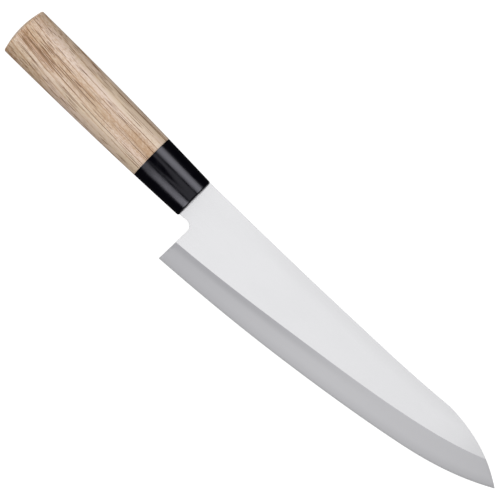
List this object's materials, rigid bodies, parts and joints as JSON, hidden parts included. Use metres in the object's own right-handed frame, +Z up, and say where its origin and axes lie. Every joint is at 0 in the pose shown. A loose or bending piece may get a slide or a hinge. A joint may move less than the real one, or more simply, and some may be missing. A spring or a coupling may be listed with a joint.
{
  "type": "gyuto knife",
  "caption": "Japanese chef's knife for slicing meat and vegetables: satin steel blade with ground bevels, hidden tang, black resin ferrule and oval pale wood handle.",
  "frame": {"origin": "on the surface that the knife lies on, under the centre of its bounding box", "axes": "+X from butt to tip along the handle's axis, +Y from the cutting edge to the spine, +Z up, square to the blade's flats"},
  "size_m": [0.346, 0.0518, 0.0227],
  "materials": {
    "blade_steel": "satin flats and a finely ground bevel, stainless",
    "ferrule_resin": "polished black resin",
    "handle_wood": "sanded, unvarnished pale wood with long open pores",
    "tang_cement": "hardened amber epoxy"
  },
  "bodies": {
    "root": {"blade": "blade_steel", "ferrule": "ferrule_resin", "handle": "handle_wood", "tang_adhesive": "tang_cement"}
  },
  "joints": []
}
